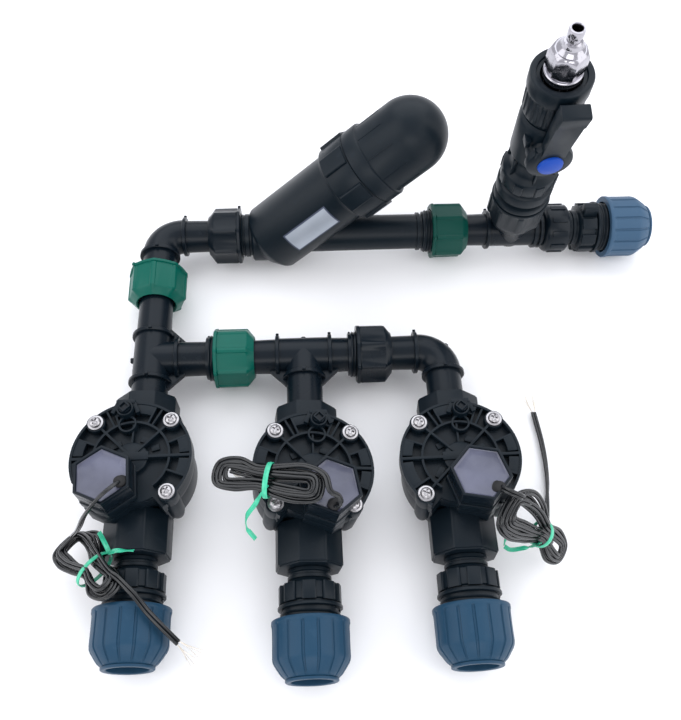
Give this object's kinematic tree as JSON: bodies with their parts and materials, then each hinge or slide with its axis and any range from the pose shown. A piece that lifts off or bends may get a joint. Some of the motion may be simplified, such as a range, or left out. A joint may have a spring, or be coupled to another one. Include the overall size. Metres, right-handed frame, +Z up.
{
  "type": "solenoid valve manifold",
  "caption": "Irrigation manifold: solenoid valves with compression outlets on a pipe run fed through an inclined screen filter and a supply tee that carries a ball valve with a quick plug.",
  "frame": {"origin": "on the bench under the middle outlet: centre of the lowest flat of that outlet's compression nut, on the middle valve's centreline", "axes": "+X along the two pipe rows towards the supply inlet, +Y from the outlets towards the supply row, +Z up from the bench"},
  "size_m": [0.4888, 0.4244, 0.2657],
  "materials": {
    "black_plastic": "moulded black polypropylene, semi-gloss, faint blue cast",
    "green_plastic": "moulded green polypropylene, satin",
    "blue_plastic": "moulded steel-blue polypropylene, satin",
    "cap_blue": "bright blue moulded cap",
    "rubber": "black moulded rubber",
    "white_plastic": "white acetal",
    "steel": "bright steel",
    "chrome": "bright plating",
    "screen_mesh": "fine woven screen",
    "wire_sheath": "black PVC wire sheath"
  },
  "bodies": {
    "manifold": {"valve_body_1": "black_plastic", "bonnet_1": "black_plastic", "diaphragm_spring_1": "steel", "solenoid_1": "black_plastic", "outlet_adapter_1": "black_plastic", "split_ring_1": "white_plastic", "valve_body_2": "black_plastic", "bonnet_2": "black_plastic", "diaphragm_spring_2": "steel", "solenoid_2": "black_plastic", "outlet_adapter_2": "black_plastic", "split_ring_2": "white_plastic", "valve_body_3": "black_plastic", "bonnet_3": "black_plastic", "diaphragm_spring_3": "steel", "solenoid_3": "black_plastic", "outlet_adapter_3": "black_plastic", "split_ring_3": "white_plastic", "corner_elbow": "black_plastic", "tee_1": "black_plastic", "tee_2": "black_plastic", "end_elbow": "black_plastic", "supply_tee": "black_plastic", "inlet_adapter": "black_plastic", "split_ring_4": "white_plastic", "filter_housing": "black_plastic", "filter_screen": "screen_mesh", "ball_valve_body": "black_plastic", "quick_plug": "chrome", "lead_1": "wire_sheath", "lead_tail_1": "wire_sheath", "lead_2": "wire_sheath", "lead_tail_3": "wire_sheath", "lead_hank_1": "wire_sheath", "lead_hank_2": "wire_sheath", "lead_hank_3": "wire_sheath"},
    "diaphragm_1": {"diaphragm_1": "rubber"},
    "plunger_1": {"plunger_1": "steel"},
    "bleed_screw_1": {"bleed_screw_1": "black_plastic"},
    "outlet_nut_1": {"outlet_nut_1": "blue_plastic"},
    "diaphragm_2": {"diaphragm_2": "rubber"},
    "plunger_2": {"plunger_2": "steel"},
    "bleed_screw_2": {"bleed_screw_2": "black_plastic"},
    "outlet_nut_2": {"outlet_nut_2": "blue_plastic"},
    "diaphragm_3": {"diaphragm_3": "rubber"},
    "plunger_3": {"plunger_3": "steel"},
    "bleed_screw_3": {"bleed_screw_3": "black_plastic"},
    "outlet_nut_3": {"outlet_nut_3": "blue_plastic"},
    "inlet_nut": {"inlet_nut": "blue_plastic"},
    "green_union_nut_1": {"green_union_nut_1": "green_plastic"},
    "green_union_nut_2": {"green_union_nut_2": "green_plastic"},
    "green_union_nut_3": {"green_union_nut_3": "green_plastic"},
    "black_union_nut_1": {"black_union_nut_1": "black_plastic"},
    "black_union_nut_2": {"black_union_nut_2": "black_plastic"},
    "post_union_nut": {"post_union_nut": "black_plastic"},
    "ball_valve_end_nut": {"ball_valve_end_nut": "black_plastic"},
    "ball_valve_handle": {"ball_valve_handle": "black_plastic", "handle_cap": "cap_blue", "ball_and_stem": "chrome"},
    "filter_cap": {"filter_cap": "black_plastic"}
  },
  "joints": [
    {"name": "diaphragm_lift_1", "type": "slide", "parent": "manifold", "child": "diaphragm_1", "axis": [-0.0244, 0, 0.9997], "range_m": [0, 0.0045], "stiffness_N_per_m": 400, "springref_m": -0.01, "deforming": ["diaphragm_spring_1"]},
    {"name": "plunger_lift_1", "type": "slide", "parent": "manifold", "child": "plunger_1", "axis": [-0.0244, 0, 0.9997], "range_m": [0, 0.0025], "stiffness_N_per_m": 150, "springref_m": -0.008},
    {"name": "bleed_turn_1", "type": "hinge", "parent": "manifold", "child": "bleed_screw_1", "pos_m": [-0.1289, 0.158, 0.07184], "axis": [-0.0244, 0, 0.9997], "range_deg": [0, 360]},
    {"name": "outlet_nut_turn_1", "type": "hinge", "parent": "manifold", "child": "outlet_nut_1", "pos_m": [-0.1218, 0.0125, 0.027], "axis": [0, -1, 0], "range_deg": [0, 540]},
    {"name": "diaphragm_lift_2", "type": "slide", "parent": "manifold", "child": "diaphragm_2", "axis": [0.1357, 0, 0.9907], "range_m": [0, 0.0045], "stiffness_N_per_m": 400, "springref_m": -0.01, "deforming": ["diaphragm_spring_2"]},
    {"name": "plunger_lift_2", "type": "slide", "parent": "manifold", "child": "plunger_2", "axis": [0.1357, 0, 0.9907], "range_m": [0, 0.0025], "stiffness_N_per_m": 150, "springref_m": -0.008},
    {"name": "bleed_turn_2", "type": "hinge", "parent": "manifold", "child": "bleed_screw_2", "pos_m": [0.01007, 0.1455, 0.07104], "axis": [0.1357, 0, 0.9907], "range_deg": [0, 360]},
    {"name": "outlet_nut_turn_2", "type": "hinge", "parent": "manifold", "child": "outlet_nut_2", "pos_m": [0, 0, 0.027], "axis": [0, -1, 0], "range_deg": [0, 540]},
    {"name": "diaphragm_lift_3", "type": "slide", "parent": "manifold", "child": "diaphragm_3", "axis": [-0.0419, 0, 0.9991], "range_m": [0, 0.0045], "stiffness_N_per_m": 400, "springref_m": -0.01, "deforming": ["diaphragm_spring_3"]},
    {"name": "plunger_lift_3", "type": "slide", "parent": "manifold", "child": "plunger_3", "axis": [-0.0419, 0, 0.9991], "range_m": [0, 0.0025], "stiffness_N_per_m": 150, "springref_m": -0.008},
    {"name": "bleed_turn_3", "type": "hinge", "parent": "manifold", "child": "bleed_screw_3", "pos_m": [0.11301, 0.1502, 0.07213], "axis": [-0.0419, 0, 0.9991], "range_deg": [0, 360]},
    {"name": "outlet_nut_turn_3", "type": "hinge", "parent": "manifold", "child": "outlet_nut_3", "pos_m": [0.1109, 0.0047, 0.027], "axis": [0, -1, 0], "range_deg": [0, 540]},
    {"name": "inlet_nut_turn", "type": "hinge", "parent": "manifold", "child": "inlet_nut", "pos_m": [0.2822, 0.346, 0.027], "axis": [1, 0, 0], "range_deg": [0, 540]},
    {"name": "green_union_turn_1", "type": "hinge", "parent": "manifold", "child": "green_union_nut_1", "pos_m": [-0.1218, 0.29075, 0.027], "axis": [0, 1, 0], "range_deg": [0, 540]},
    {"name": "green_union_turn_2", "type": "hinge", "parent": "manifold", "child": "green_union_nut_2", "pos_m": [-0.05505, 0.222, 0.027], "axis": [-1, 0, 0], "range_deg": [0, 540]},
    {"name": "green_union_turn_3", "type": "hinge", "parent": "manifold", "child": "green_union_nut_3", "pos_m": [0.13025, 0.346, 0.027], "axis": [-1, 0, 0], "range_deg": [0, 540]},
    {"name": "black_union_turn_1", "type": "hinge", "parent": "manifold", "child": "black_union_nut_1", "pos_m": [-0.0658, 0.346, 0.027], "axis": [1, 0, 0], "range_deg": [0, 540]},
    {"name": "black_union_turn_2", "type": "hinge", "parent": "manifold", "child": "black_union_nut_2", "pos_m": [0.0562, 0.222, 0.027], "axis": [-1, 0, 0], "range_deg": [0, 540]},
    {"name": "post_union_turn", "type": "hinge", "parent": "manifold", "child": "post_union_nut", "pos_m": [0.18424, 0.34084, 0.06513], "axis": [-0.038, -0.134, 0.9902], "range_deg": [0, 540]},
    {"name": "ball_valve_end_turn", "type": "hinge", "parent": "manifold", "child": "ball_valve_end_nut", "pos_m": [0.1788, 0.32167, 0.20673], "axis": [-0.038, -0.134, 0.9902], "range_deg": [0, 540]},
    {"name": "ball_valve_handle_turn", "type": "hinge", "parent": "manifold", "child": "ball_valve_handle", "pos_m": [0.18046, 0.3275, 0.16365], "axis": [-0.0574, 0.9896, 0.1317], "range_deg": [0, 90]},
    {"name": "filter_cap_turn", "type": "hinge", "parent": "manifold", "child": "filter_cap", "pos_m": [0.05641, 0.36108, 0.09387], "axis": [0.752, 0.145, 0.643], "range_deg": [0, 540]}
  ]
}
